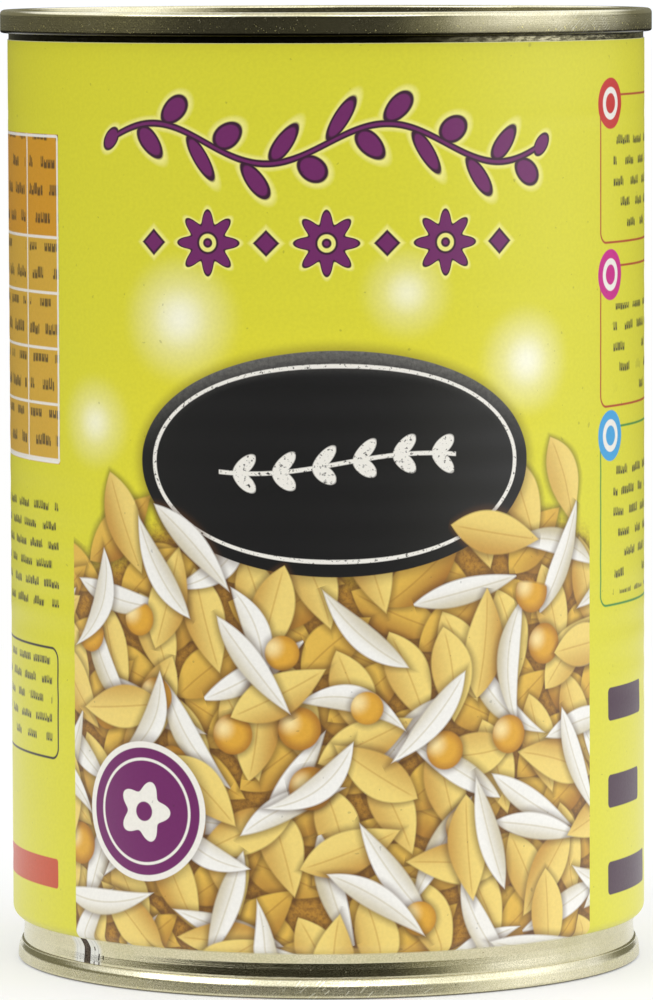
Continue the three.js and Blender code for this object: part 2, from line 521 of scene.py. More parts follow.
def cells(place, turn, size, shift):
    """Cuts the print into a turned grid: each cell's number, and the place from its centre, in mm."""
    node = place.tree.nodes.new("ShaderNodeMapping")
    feed(node.inputs["Vector"], place)
    node.inputs["Rotation"].default_value = (0, 0, math.radians(turn))
    node.inputs["Location"].default_value = (*shift, 0)
    grid = vectors("DIVIDE", Signal(place.tree, node.outputs[0]), (*size, 1))
    number = vectors("FLOOR", grid)
    centred = vectors("SUBTRACT", vectors("SUBTRACT", grid, number), (0.5, 0.5, 0))
    return number, vectors("MULTIPLY", centred, (*size, 1))


def ellipse(place, centre, half):
    """Distance out from an ellipse, in mm, along the line from its centre."""
    arm = vectors("SUBTRACT", place, (*centre, 0))
    reach = vectors("LENGTH", vectors("DIVIDE", arm, (*half, 1)))
    return vectors("LENGTH", arm) * (1 - maths("DIVIDE", 1, reach))


def box(place, centre, half, corner=0.0):
    """Distance out from a box with round corners, in mm. It levels off just inside the box's edge."""
    arm = vectors("ABSOLUTE", vectors("SUBTRACT", place, (*centre, 0)))
    over = vectors("SUBTRACT", arm, (half[0] - corner, half[1] - corner, 0))
    return vectors("LENGTH", vectors("MAXIMUM", over, (0, 0, 0))) - max(corner, 0.05)


def srgb(red, green, blue):
    """A colour as it shows on a screen, 0 to 255, in the linear values that shaders take."""
    return tuple(((part / 255 + 0.055) / 1.055) ** 2.4 for part in (red, green, blue)) + (1,)


SOCKETS = {"VALUE": "NodeSocketFloat", "VECTOR": "NodeSocketVector", "RGBA": "NodeSocketColor"}


class Picture:
    """A colour built up in layers, each laid over those below it by its cover of 0 to 1."""

    def __init__(self, tree, colour):
        self.tree, self.colour = tree, colour

    def paint(self, cover, colour):
        node = self.tree.nodes.new("ShaderNodeMixRGB")
        for name, term in (("Fac", cover), ("Color1", self.colour), ("Color2", colour)):
            feed(node.inputs[name], term)
        self.colour = Signal(self.tree, node.outputs[0])

    def add(self, motif, *terms):
        """Draws a motif over the picture, with its nodes in a group of their own."""
        group = bpy.data.node_groups.new(motif.__name__, "ShaderNodeTree")
        signals = [self.colour] + [term for term in terms if isinstance(term, Signal)]
        for place, signal in enumerate(signals):
            kind = SOCKETS[signal.socket.type]
            group.interface.new_socket(f"in_{place}", in_out="INPUT", socket_type=kind)
        group.interface.new_socket("colour", in_out="OUTPUT", socket_type="NodeSocketColor")
        entry = group.nodes.new("NodeGroupInput")
        inner = [Signal(group, socket) for socket in entry.outputs][:len(signals)]
        drawn = Picture(group, inner.pop(0))
        motif(drawn, *(inner.pop(0) if isinstance(term, Signal) else term for term in terms))
        group.links.new(drawn.colour.socket, group.nodes.new("NodeGroupOutput").inputs[0])
        used = self.tree.nodes.new("ShaderNodeGroup")
        used.node_tree = group
        for slot, signal in zip(used.inputs, signals):
            feed(slot, signal)
        self.colour = Signal(self.tree, used.outputs[0])


# Print design

GROUND = srgb(216, 211, 46)
GROUND_WARM = srgb(228, 216, 44)
GLOW = srgb(240, 236, 176)
GLOW_CORE = srgb(252, 250, 232)
HALO = srgb(238, 232, 130)
PLUM = srgb(58, 18, 48)
PURPLE = srgb(112, 32, 98)
SLATE = srgb(22, 21, 21)
CREAM = srgb(236, 232, 222)
AMBER = srgb(208, 146, 26)
AMBER_PALE = srgb(208, 160, 54)
RUST = srgb(196, 74, 34)
INK = srgb(40, 30, 22)
SHADOW = srgb(84, 52, 22)

# Kinds of leaf: half a length, half a width and bend in mm, then its lit and its shaded colour
BROAD = {"length": 6.1, "half": 2.5, "bend": 0.9, "light": (226, 184, 74), "dark": (160, 104, 30)}
PALE = {"length": 6.4, "half": 2.4, "bend": 1.2, "light": (238, 212, 118), "dark": (186, 132, 46)}
BLADE = {"length": 7.4, "half": 1.45, "bend": 4.6, "light": (242, 240, 234), "dark": (188, 174, 132)}
# Layers of leaves in the lower field, from the lowest up: kind, turn of the grid and spin of a leaf in
# degrees, the grid's cell in mm, and the share of cells that are filled
LEAVES = (
    (BROAD, 24, 5, (13, 6.4), 1.0),
    (BROAD, -38, 6, (13, 6.4), 1.0),
    (PALE, 71, 7, (13.4, 6.6), 0.9),
    (BLADE, -20, 180, (13, 13), 0.95),
    (PALE, 8, 180, (12.4, 12.4), 0.95),
    (BLADE, 33, 180, (13.6, 13.6), 0.95),
    (PALE, -51, 180, (14, 14), 0.7),
    (BLADE, 62, 180, (15, 15), 0.9),
)

# Soft lights on the ground: centre and size in mm, and strength
GLOWS = (((-17, 76), 8, 0.75), ((9, 79), 6, 0.55), ((24, 71), 7, 0.8), ((-29, 64), 6, 0.6))


def inked(picture, distance):
    """A purple ornament with a plum outline and a pale halo."""
    picture.paint(inside(distance - 0.34, 0.2), HALO)
    picture.paint(inside(distance), PLUM)
    picture.paint(inside(distance + 0.26), PURPLE)


def vine(picture, u, z):
    """A waved stem with leaves to both sides, and a round berry at each end."""
    height, wave, length, pitch, lead = 95.5, 2.2, 27, 6.4, 1.7
    reach = 4 * pitch
    line = z - height - wave * maths("SINE", u * (2 * math.pi / length))
    ends = (abs(u) - reach) * 6
    shape = maths("MAXIMUM", abs(line) - 0.42, ends)
    for side in (-1, 1):
        along = (u + (1 + side) / 4 * pitch - lead) % pitch - pitch / 2 + lead
        across = line * side
        a = (along * 0.64 + across * 0.77 - 2.6) / 2.4
        b = (along * -0.77 + across * 0.64) / 1.15
        leaf = (maths("SQRT", a * a + b * b) - 1) * 1.15
        leaf = maths("MAXIMUM", leaf, (abs(u - along) - reach + 1) * 6)
        shape = maths("MINIMUM", shape, leaf)
    end = abs(u) - reach - 0.6
    inked(picture, maths("MINIMUM", shape, maths("SQRT", end * end + line * line) - 1.2))


def rosettes(picture, u, z):
    """A row of three flowers between small diamonds."""
    height, pitch, petals, reach = 84.5, 13.5, 8, 22.6
    along = (u + pitch / 2) % pitch - pitch / 2
    across = z - height
    radius = maths("SQRT", along * along + across * across)
    turn = maths("ARCTAN2", across, along)
    flower = radius - (3.0 + 0.75 * maths("COSINE", turn * petals))
    flower = maths("MAXIMUM", flower, 1.0 - radius)
    flower = maths("MINIMUM", flower, radius - 0.55)
    apart = (u % pitch) - pitch / 2
    diamond = (abs(apart) + abs(across) - 1.5) * 0.7
    shape = maths("MINIMUM", flower, diamond)
    inked(picture, maths("MAXIMUM", shape, (abs(u) - reach) * 6))


def plaque(picture, place, u, z, grain):
    """A dark oval board with a chalked border and a chalked sprig."""
    centre, half, reach, pitch = (1, 60), (23, 12.6), 13.5, 4.5
    edge = ellipse(place, centre, half)
    picture.paint(ramp(edge, 1.6, -0.4) * 0.5, SHADOW)
    picture.paint(inside(edge), SLATE)
    sheen = ramp(edge, -3, 0.2) * ramp(z, centre[1], centre[1] + half[1]) * inside(edge)
    picture.paint(sheen * 0.3 * grain, CREAM)
    chalk = ramp(grain, 0.3, 0.46)
    picture.paint(inside(abs(edge + 1.7) - 0.24) * chalk, CREAM)
    along = u - centre[0]
    across = z - centre[1] - 1.1 * maths("SINE", along * 0.16)
    ends = inside(abs(along - 0.2) - reach)
    stem = inside(abs(across) - 0.24)
    here = along % pitch - pitch / 2
    off = abs(across)
    a = (here * 0.72 + off * 0.69 - 1.25) / 1.65
    b = (here * -0.69 + off * 0.72) / 0.8
    leaf = inside((maths("SQRT", a * a + b * b) - 1) * 0.8)
    picture.paint(maths("MAXIMUM", stem, leaf) * ends * chalk, CREAM)


def hill(u, z):
    """The height, shifted up and down so that a level line follows the field's waved edge."""
    return z + 3 * maths("SINE", u * 0.17 + 0.8)


def leaves(picture, place, u, z, layer, seed, top):
    """One layer of scattered leaves, each with its own lean, length, bend, tint and shadow."""
    kind, turn, spin, size, share = layer
    number, local = cells(place, turn, size, (3.7 * seed, 5.3 * seed))
    draw, first, second, third = dice(number, seed)
    across, along, _ = split(local)
    sine, cosine = math.sin(math.radians(turn)), math.cos(math.radians(turn))
    centre_u = u - across * cosine - along * sine
    centre_z = z + across * sine - along * cosine
    shown = ramp(hill(centre_u, centre_z) + second * 8, top + 5.05, top + 5, "LINEAR")
    if share < 1:
        shown = shown * ramp(draw, share, share - 0.001, "LINEAR")
    lean = (third * 2 - 1) * math.radians(spin)
    cosine, sine = maths("COSINE", lean), maths("SINE", lean)
    s = (across * cosine + along * sine) / (kind["length"] * (0.82 + 0.18 * first))
    square = s * s
    side = along * cosine - across * sine - (first - 0.5) * kind["bend"] * (square - 0.35)
    taper = 1 - square
    off = abs(side)
    edge = off - taper * (1 - 0.25 * s) * kind["half"]
    picture.paint(ramp(edge, 1.1, -0.2) * shown * 0.62, SHADOW)
    tint = Picture(picture.tree, srgb(*kind["light"]))
    lit = ramp(side + second * 0.8, -kind["half"], kind["half"] * 0.7)
    tint.paint((1 - lit * 0.9) * (0.55 + 0.45 * draw), srgb(*kind["dark"]))
    tint.paint(ramp(off, 0.17, 0.03) * ramp(taper, 0.1, 0.5) * 0.4, srgb(*kind["dark"]))
    picture.paint(inside(edge, 0.12) * shown, tint.colour)


def berries(picture, place, u, z, turn, size, seed, top):
    """Round berries with a soft light on each."""
    number, local = cells(place, turn, (size * 3.1, size * 3.1), (2.9 * seed, 4.1 * seed))
    draw, first, second, third = dice(number, seed)
    arm = vectors("SUBTRACT", local, joined((first - 0.5) * size, (second - 0.5) * size))
    radius = vectors("LENGTH", arm)
    edge = radius - size * (0.72 + 0.28 * third)
    shown = ramp(hill(u, z), top + 0.4, top, "LINEAR") * ramp(draw, 0.34, 0.339, "LINEAR")
    picture.paint(ramp(edge, 0.9, -0.2) * shown * 0.6, SHADOW)
    tint = Picture(picture.tree, srgb(220, 164, 48))
    tint.paint(ramp(radius, 0.4 * size, size) * 0.8, srgb(156, 96, 26))
    light = vectors("LENGTH", vectors("SUBTRACT", arm, (-0.35 * size, 0.35 * size, 0)))
    tint.paint(ramp(light, 0.7 * size, 0) * 0.75, srgb(250, 232, 170))
    picture.paint(inside(edge, 0.1) * shown, tint.colour)


def words(u, z, pitch, height, length, seed):
    """Rows of uneven strokes, spaced like the words of a small text but with nothing to read."""
    row = z / pitch
    line = maths("FLOOR", row)
    spot = u / length + line * 0.37
    word = maths("FLOOR", spot)
    draw, first, _, _ = dice(joined(word, line), seed)
    cover = inside((abs(spot - word - 0.45) - 0.22 - 0.2 * draw) * length) * ramp(first, 0.06, 0.08)
    mark = u / (0.75 * height)
    stem = maths("FLOOR", mark)
    tall, lean, gap, _ = dice(joined(stem, line), seed + 1)
    level = (row - line - 0.5) * pitch - (0.3 * tall - 0.15) * height
    bar = inside(abs(level) - height * (0.42 + 0.14 * lean), 0.1)
    across = abs(mark - stem - 0.5) * 0.75 * height
    hollow = inside(across - height * 0.13 * gap) * inside(height * (0.2 - 0.5 * lean) - level)
    return bar * cover * inside(across - height * 0.31) * (1 - hollow)


def left_column(picture, place, u, z):
    """A ruled table in amber, a block of small strokes, a ruled box of them and a plain rust bar."""
    centre, half, head_z, row = (-46, 77.5), (10.4, 18.6), 84.5, 6.3
    table = inside(box(place, centre, half))
    picture.paint(table, AMBER_PALE)
    picture.paint(table * ramp(z, head_z - 0.1, head_z + 0.1), AMBER)
    across = (z - head_z) % row
    rule = maths("MINIMUM", across, row - across) - 0.16
    rule = maths("MAXIMUM", rule, z - head_z - 0.5)
    rule = maths("MINIMUM", rule, abs(u + 43.5) - 0.16)
    picture.paint(table * words(u, z, 3.15, 1.15, 5.2, 21) * inside(0.5 - rule) * 0.9, INK)
    frame = inside(abs(box(place, centre, half, 0.4) + 0.16) - 0.16)
    picture.paint(maths("MAXIMUM", inside(rule) * table, frame), CREAM)
    text = inside(box(place, (-47, 48.5), (11, 6.6)))
    text = maths("MAXIMUM", text, inside(box(place, (-47, 31.5), (9.4, 5.2))))
    picture.paint(text * words(u, z, 2.2, 0.85, 5.4, 23), INK)
    picture.paint(inside(abs(box(place, (-47, 31.5), (11, 6.6), 1.6) + 0.3) - 0.14), INK)
    picture.paint(inside(box(place, (-46.5, 12), (10, 1.7), 0.4)), RUST)


def right_column(picture, place, u, z):
    """Three outlined panels with a coloured disc each, and three plain purple bars."""
    lines = words(u, z, 2.35, 0.9, 5.6, 27)
    panels = (
        (92, 8.6, (196, 40, 36), (176, 74, 30)),
        (73, 8.2, (198, 20, 130), (176, 74, 30)),
        (52.5, 10.4, (64, 160, 214), (70, 140, 60)),
    )
    for height, half, disc, rim in panels:
        panel = box(place, (46.8, height), (10.2, half), 1.5)
        picture.paint(inside(abs(panel + 0.25) - 0.13), srgb(*rim))
        picture.paint(inside(box(place, (48, height - 1.6), (8, half - 3))) * lines, INK)
        spot = vectors("LENGTH", vectors("SUBTRACT", place, (39.2, height + half - 1.2, 0)))
        picture.paint(inside(spot - 2.9), srgb(*disc))
        picture.paint(inside(abs(spot - 1.5) - 0.35), CREAM)
    for height, half in ((31, 5.6), (21, 5.0), (11, 7.0)):
        picture.paint(inside(box(place, (38.6 + half, height), (half, 1.9), 0.6)), PLUM)


def badge(picture, place, u, z):
    """A purple disc with a cream rim, a fine cream ring and a cream flower."""
    centre, rim, disc, ring = (-22, 20.5), 7.9, 7.2, 5.9
    radius = vectors("LENGTH", vectors("SUBTRACT", place, (*centre, 0)))
    picture.paint(ramp(radius, rim + 1.5, rim - 0.3) * 0.5, SHADOW)
    picture.paint(inside(radius - rim), CREAM)
    picture.paint(inside(radius - disc), PURPLE)
    picture.paint(inside(abs(radius - ring) - 0.16), CREAM)
    petal = maths("ARCTAN2", z - centre[1], u - centre[0])
    flower = maths("MAXIMUM", radius - 2.9 - 0.6 * maths("COSINE", petal * 5), 1.1 - radius)
    picture.paint(inside(flower), CREAM)


def artwork(picture, u, z):
    """The whole design, in millimetres round the tin and up it."""
    u = (u + COPY_HALF) % (2 * COPY_HALF) - COPY_HALF
    place = joined(u, z)
    cloud = noise(place, 0.055, 2)
    grain = noise(place, 2.2, 3, 0.6)
    field = inside(abs(u - 0.8) - FIELD_HALF)
    warm = ramp(z, 84, 62) * ramp(z, 36, 58) * ramp(abs(u), 34, 12)
    picture.paint(warm * (0.4 + 0.6 * cloud), GROUND_WARM)
    for spot, size, strength in GLOWS:
        radius = vectors("LENGTH", vectors("SUBTRACT", place, (*spot, 0)))
        picture.paint(ramp(radius, size, size * 0.2) * strength, GLOW)
        picture.paint(ramp(radius, size * 0.5, 0) * strength, GLOW_CORE)
    picture.add(vine, u, z)
    picture.add(rosettes, u, z)
    top = FIELD_TOP
    under = Picture(picture.tree, picture.colour)
    ground = hill(u, z)
    under.paint(ramp(ground + cloud * 6, top + 4, top - 2), srgb(178, 128, 40))
    under.paint(ramp(grain, 0.35, 0.75) * ramp(ground, top + 1, top - 5) * 0.7, srgb(116, 74, 26))
    for seed, layer in enumerate(LEAVES[:4], 1):
        under.add(leaves, place, u, z, layer, seed, top)
    under.add(plaque, place, u, z, grain)
    for seed, layer in enumerate(LEAVES[4:], 5):
        under.add(leaves, place, u, z, layer, seed, top - 7)
        if seed == 6:
            under.add(berries, place, u, z, -14, 2.5, 37, top - 10)
    under.add(badge, place, u, z)
    picture.paint(field, under.colour)
    picture.add(left_column, place, u, z)
    picture.add(right_column, place, u, z)
    picture.paint(ramp(grain, 0.3, 0.7) * 0.05, (0, 0, 0, 1))


# Materials

def blank(name, **sockets):
    """A material with its main shader, whose named inputs take the values given."""
    material = bpy.data.materials.new(name)
    material.use_nodes = True
    shader = material.node_tree.nodes["Principled BSDF"]
    for key, value in sockets.items():
        shader.inputs[key.replace("_", " ").title().replace("Ior", "IOR")].default_value = value
    return material, material.node_tree, shader


def spot_on_tin(tree):
    """A surface point's place in mm, its distance round from the front, and its height."""
    coordinates = tree.nodes.new("ShaderNodeTexCoord")
    place = vectors("MULTIPLY", Signal(tree, coordinates.outputs["Object"]), (1 / MM, 1 / MM, 1 / MM))
    x, y, z = split(place)
    u = maths("ARCTAN2", x, y * -1) * LABEL_RADIUS
    return place, u, z


def relief(tree, shader, height, depth, strength=1.0):
    """Bumps the surface by a height of 0 to 1, which stands for the depth given in mm."""
    bump = tree.nodes.new("ShaderNodeBump")
    bump.inputs["Strength"].default_value = strength
    bump.inputs["Distance"].default_value = depth * MM
    feed(bump.inputs["Height"], height)
    tree.links.new(bump.outputs[0], shader.inputs["Normal"])


def printed_paper():
    """Coated label paper with the design, a white cut edge, and fine fibres under its gloss."""
    material, tree, shader = blank("printed_paper", coat_weight=0.25, coat_roughness=0.22)
    place, u, z = spot_on_tin(tree)
    picture = Picture(tree, GROUND)
    artwork(picture, u, z)
    cut = maths("MAXIMUM", ramp(z, LABEL_TOP - UNPRINTED_EDGE, LABEL_TOP - UNPRINTED_EDGE + 0.05),
                ramp(z, LABEL_BOTTOM + UNPRINTED_EDGE + 0.05, LABEL_BOTTOM + UNPRINTED_EDGE))
    picture.paint(cut * 0.6, srgb(232, 228, 190))
    fibre = noise(place, 3.0, 4, 0.65)
    picture.paint(ramp(noise(place, 1.3, 1), 0.77, 0.8) * 0.25, INK)
    tree.links.new(picture.colour.socket, shader.inputs["Base Color"])
    tree.links.new((0.36 + 0.16 * fibre).socket, shader.inputs["Roughness"])
    relief(tree, shader, fibre, 0.012, 0.6)
    return material


def scuffs(place, turn, size, seed, share, width):
    """Short thin strokes, few and scattered, all at about one lean."""
    number, local = cells(place, turn, size, (1.3 * seed, 0.7 * seed))
    draw, first, second, third = dice(number, seed)
    along, across, _ = split(local)
    line = abs(across + (first - 0.5) * size[1] * 0.6 + (second - 0.5) * 0.3 * along) - width
    length = abs(along) - size[0] * (0.12 + 0.3 * third)
    return inside(maths("MAXIMUM", line, length), 0.03) * ramp(draw, share, share - 0.001, "LINEAR")


class TinSurface:
    """A point on the tinplate: its place in mm, the noises that layers share, and which wall it is on."""

    def __init__(self, tree):
        self.place, self.u, self.z = spot_on_tin(tree)
        x, y, _ = split(self.place)
        self.radius = maths("SQRT", x * x + y * y)
        self.flat = joined(self.u, self.z)
        end = ramp(self.radius, 35.2, 35.1)
        lines = joined((self.u + (x - self.u) * end) * 0.12, (self.z + (y - self.z) * end) * 9)
        self.cloud = noise(self.place, 0.16, 3)
        self.grain = noise(self.place, 5.5, 3, 0.65)
        self.rolled = noise(lines, 1.0, 3, 0.6)
        self.top_wall = ramp(self.radius - TOP_SEAM_RADIUS, -0.5, -0.2)
        self.top_wall = self.top_wall * ramp(self.z, HEIGHT - 0.5, HEIGHT - 0.8)
        self.base_wall = ramp(self.radius - BOTTOM_SEAM_RADIUS, -0.5, -0.2) * ramp(self.z, 1.5, 1.3)
        outer = ramp(self.radius, BODY_RADIUS - 0.16, BODY_RADIUS - 0.08)
        outer = maths("MAXIMUM", outer, ramp(self.z, 100, 99))
        self.body_wall = outer * ramp(self.radius, 35.3, 35.38)


def plate(picture, tin):
    """The lacquered plate itself: clouded, grained and rolled."""
    picture.paint(ramp(tin.cloud, 0.35, 0.7), srgb(213, 206, 170))
    picture.paint(ramp(tin.grain, 0.62, 0.4) * 0.3, srgb(150, 146, 112))
    picture.paint(ramp(tin.rolled, 0.62, 0.8) * 0.35, srgb(240, 234, 206))


def scratches(tin):
    """Fine scratches on the seams: at the base's front, at the top's right, and a few stray ones."""
    u, z = tin.u, tin.z
    base = scuffs(tin.flat, -42, (1.7, 0.5), 3, 0.6, 0.03) * ramp(abs(u - BASE_SCRATCHES), 8, 4)
    base = base * ramp(z, 4, 3)
    top = scuffs(tin.flat, -38, (1.7, 0.42), 7, 0.75, 0.025) * ramp(abs(u - TOP_SCRATCHES), 7, 4)
    top = top * ramp(z, HEIGHT - 4, HEIGHT - 3)
    stray = scuffs(tin.flat, -30, (1.6, 0.5), 5, 0.1, 0.02) * ramp(noise(tin.flat, 0.12, 1), 0.5, 0.6)
    seams = maths("MAXIMUM", ramp(z, HEIGHT - 3, HEIGHT - 2.6), ramp(z, 2.2, 2.0))
    return maths("MAXIMUM", maths("MAXIMUM", base, stray), top * 0.6) * seams


def seam_wear_and_shade(picture, tin, worn):
    """Wear on the seams' outer walls, with painted shade low down on the right of the top seam. Gives
    where the bright specks are.
    """
    # Painted shade: the top seam's wall is darkened low down towards the right.
    low_wall_shade = tin.top_wall * ramp(tin.z, HEIGHT - 1.0, HEIGHT - 2.3)
    picture.paint(low_wall_shade * ramp(tin.u + 10 * tin.cloud, 8, 26) * 0.6, srgb(120, 114, 84))
    frayed = ramp(abs(tin.z - HEIGHT + 1.0), 0.8, 0.3) * ramp(abs(tin.u - TOP_FRAYING), 15, 6)
    frayed = frayed * tin.top_wall * ramp(tin.grain, 0.5, 0.62)
    picture.paint(frayed * 0.8, srgb(250, 242, 196))
    picture.paint(worn * 0.9, srgb(250, 248, 228))
    dots = noise(tin.place, 4.2, 1) + ramp(abs(tin.z - HEIGHT + 2), 0.9, 0.2) * 0.06
    dots = dots - ramp(abs(tin.u), 26, 6) * 0.03
    specks = ramp(dots, 0.73, 0.77) * maths("MAXIMUM", tin.top_wall, tin.base_wall)
    picture.paint(specks, srgb(246, 236, 160))
    return specks


def weld(picture, tin):
    """The scorched weld down the body, with bare metal, rolled lines and splashes to its sides."""
    hook = 0.25 * (tin.z - 3.2) * (tin.z - 3.2) * ramp(tin.z, 3.2, 6) * ramp(tin.z, 9, 6)
    off = abs(tin.u - WELD_ANGLE * LABEL_RADIUS + hook)
    body = tin.body_wall * ramp(tin.z, 2.15, 2.2) * ramp(tin.z, HEIGHT - 2.9, HEIGHT - 3.0)
    picture.paint(ramp(off, 2.9, 1.9) * body * 0.85, srgb(226, 226, 224))
    picture.paint(inside(abs(off - 2.0) - 0.05) * body * 0.5, srgb(150, 150, 146))
    picture.paint(inside(abs(off - 1.35) - 0.04) * body * 0.5, srgb(170, 170, 166))
    splash = scuffs(tin.flat, 90, (0.9, 0.8), 11, 0.4, 0.1) * ramp(abs(off - 2.1), 1.1, 0.9) * body
    picture.paint(splash * ramp(tin.u, -32.5, -32.2), srgb(60, 48, 40))
    seam = ramp(off, WELD_WIDTH / 2 + 0.06, WELD_WIDTH / 2 - 0.06) * body
    picture.paint(seam, srgb(104, 92, 82))
    scorch = maths("MAXIMUM", ramp(tin.grain, 0.45, 0.6) * 0.8, ramp(off, 0.3, 0.6))
    picture.paint(seam * scorch, srgb(40, 32, 26))
    return seam


def strip_under_seam(picture, tin):
    """The body's bare strip between label and top seam: patchy, with a painted shadow just under the seam
    and painted shade all along but at the right.
    """
    strip = ramp(tin.z, LABEL_TOP - 0.4, LABEL_TOP) * ramp(tin.z, HEIGHT - 2.2, HEIGHT - 2.5)
    strip = strip * tin.body_wall
    patchy = ramp(noise(joined(tin.u * 0.8, tin.z * 2.6), 1.0, 3, 0.6), 0.42, 0.58)
    picture.paint(strip * patchy * 0.75, srgb(66, 62, 42))
    # Painted shadow: a dark line just under the top seam, all the way round.
    picture.paint(strip * ramp(tin.z, HEIGHT - 2.95, HEIGHT - 2.75) * 0.9, srgb(26, 22, 14))
    # Painted shade: the strip is darkened at the front and left, fading out towards the right and towards
    # the back.
    dark = ramp(tin.u + 8 * tin.cloud, 34, 14) * ramp(tin.u, -105, -70)
    picture.paint(strip * dark * 0.9, srgb(34, 30, 18))


def tinplate():
    """Tin-coated steel under pale gold lacquer, scuffed and pitted, with bare metal by its dark weld, and
    painted shade along the base's bottom edge and under the top seam.
    """
    material, tree, shader = blank("tinplate", metallic=1.0)
    tin = TinSurface(tree)
    picture = Picture(tree, srgb(222, 215, 184))
    plate(picture, tin)
    worn = scratches(tin)
    specks = seam_wear_and_shade(picture, tin, worn)
    pits = ramp(noise(vectors("ADD", tin.place, (31, 17, 5)), 2.6, 2), 0.27, 0.23)
    picture.paint(pits * 0.8, srgb(62, 56, 38))
    # Painted shade: a dark line round the outside of the base seam's bottom edge, where the tin stands on
    # the floor.
    contact_shade = ramp(tin.z, 0.2, 0.1) * ramp(tin.radius - BOTTOM_SEAM_RADIUS, -0.3, -0.2)
    picture.paint(contact_shade * 0.8, INK)
    seam = weld(picture, tin)
    strip_under_seam(picture, tin)
    tree.links.new(picture.colour.socket, shader.inputs["Base Color"])

    gloss = 0.05 + 0.06 * tin.cloud + 0.08 * tin.grain + 0.06 * tin.rolled
    gloss = gloss + 0.25 * pits + 0.3 * seam + 0.12 * worn + 0.2 * specks
    gloss = gloss + 0.12 * tin.base_wall + 0.05 * tin.top_wall
    tree.links.new(gloss.socket, shader.inputs["Roughness"])
    height = tin.grain * 0.5 + tin.rolled * 0.35 - pits * 0.6 - worn * 0.3
    relief(tree, shader, height + seam * (0.6 + tin.grain), 0.02, 0.7)
    return material


def compound():
    """Sealing compound: a dull grey rubbery film."""
    material, tree, shader = blank("compound")
    place, _, _ = spot_on_tin(tree)
    mottle = noise(place, 2.5, 3, 0.6)
    picture = Picture(tree, srgb(96, 98, 96))
    picture.paint(ramp(mottle, 0.35, 0.7), srgb(132, 130, 122))
    tree.links.new(picture.colour.socket, shader.inputs["Base Color"])
    tree.links.new((0.55 + 0.25 * mottle).socket, shader.inputs["Roughness"])
    relief(tree, shader, mottle, 0.03)
    return material


def packed_food():
    """The contents: packed vegetables in cloudy water."""
    material, tree, shader = blank("packed_food", subsurface_weight=0.1)
    place, _, _ = spot_on_tin(tree)
    strands = noise(vectors("MULTIPLY", place, (0.5, 0.5, 0.2)), 0.6, 4, 0.6)
    lumps = noise(place, 0.35, 2)
    picture = Picture(tree, srgb(222, 214, 176))
    picture.paint(ramp(strands, 0.42, 0.6), srgb(240, 236, 222))
    picture.paint(ramp(lumps, 0.55, 0.68), srgb(206, 168, 70))
    picture.paint(ramp(strands, 0.42, 0.3) * 0.7, srgb(150, 122, 70))
    tree.links.new(picture.colour.socket, shader.inputs["Base Color"])
    tree.links.new((0.25 + 0.3 * strands).socket, shader.inputs["Roughness"])
    relief(tree, shader, strands, 1.2)
    return material


def label_back():
    """Unprinted paper: the inner side of the label and its cut edges."""
    material, tree, shader = blank("paper_back")
    place, _, _ = spot_on_tin(tree)
    fibre = noise(place, 3.0, 4, 0.65)
    picture = Picture(tree, srgb(228, 226, 218))
    picture.paint(ramp(fibre, 0.35, 0.7) * 0.5, srgb(206, 202, 190))
    tree.links.new(picture.colour.socket, shader.inputs["Base Color"])
    tree.links.new((0.7 + 0.2 * fibre).socket, shader.inputs["Roughness"])
    relief(tree, shader, fibre, 0.015)
    return material


def studio_white():
    """The floor's white: mostly lit near the tin, and turning to an even glow further out."""
    material, tree, shader = blank("studio_white", base_color=(0.9, 0.9, 0.89, 1), roughness=0.6)
    coordinates = tree.nodes.new("ShaderNodeTexCoord")
    x, y, _ = split(Signal(tree, coordinates.outputs["Object"]))
    away = 0.25 + 0.75 * ramp(maths("SQRT", x * x + y * y), 0.05, 0.35)
    glow = tree.nodes.new("ShaderNodeEmission")
    glow.inputs["Color"].default_value = (1, 1, 0.99, 1)
    mix = tree.nodes.new("ShaderNodeMixShader")
    feed(mix.inputs["Fac"], away)
    tree.links.new(shader.outputs[0], mix.inputs[1])
    tree.links.new(glow.outputs[0], mix.inputs[2])
    tree.links.new(mix.outputs[0], tree.nodes["Material Output"].inputs["Surface"])
    return material


def floor(name, outlines, glossy, diffuse):
    """A flat part of the floor, which reflections or scattered light may leave out."""
    mesh = bpy.data.meshes.new(name)
    places, faces = [], []
    for outline in outlines:
        faces.append(tuple(range(len(places), len(places) + len(outline))))
        places += [(x, y, FLOOR_Z) for x, y in outline]
    mesh.from_pydata(places, [], faces)
    piece = bpy.data.objects.new(name, mesh)
    bpy.context.collection.objects.link(piece)
    piece.visible_glossy, piece.visible_diffuse = glossy, diffuse
    return piece


def arc(radius, start, end, steps=64):
    """Points on a circle round the tin, from one angle to another."""
    turns = np.linspace(start, end, steps + 1)
    return [(radius * math.cos(turn), radius * math.sin(turn)) for turn in turns]


def area_light(name, place, aim, width, height, power):
    """A soft rectangular light, placed and sized in metres, with its power in watts."""
    data = bpy.data.lights.new(name, "AREA")
    data.shape = "RECTANGLE"
    data.size, data.size_y = width, height
    data.energy = power
    light = bpy.data.objects.new(name, data)
    light.location = place
    light.rotation_euler = (Vector(aim) - Vector(place)).to_track_quat("-Z", "Y").to_euler()
    bpy.context.collection.objects.link(light)
    return light


# Pieces

body = can_body()
top = seamed_end("top_end_fine", TOP_SEAM)
bottom = seamed_end("bottom_end_fine", BOTTOM_SEAM)
wrap = label()
tin = tinplate()
for piece, node, slot in ((body, "can_body", "tinplate"), (top, "top_end", "tinplate"),
                          (bottom, "bottom_end", "tinplate"), (wrap, "paper_label", "label")):
    if piece is not wrap:
        piece.data.materials.append(tin)
    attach(piece, "root")
    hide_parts(node)

carried = {"top_seal": compound(), "contents": packed_food()}
carried["bottom_seal"] = carried["top_seal"]
for node, material in carried.items():
    frame["nodes"][node].data.materials.clear()
    frame["nodes"][node].data.materials.append(material)

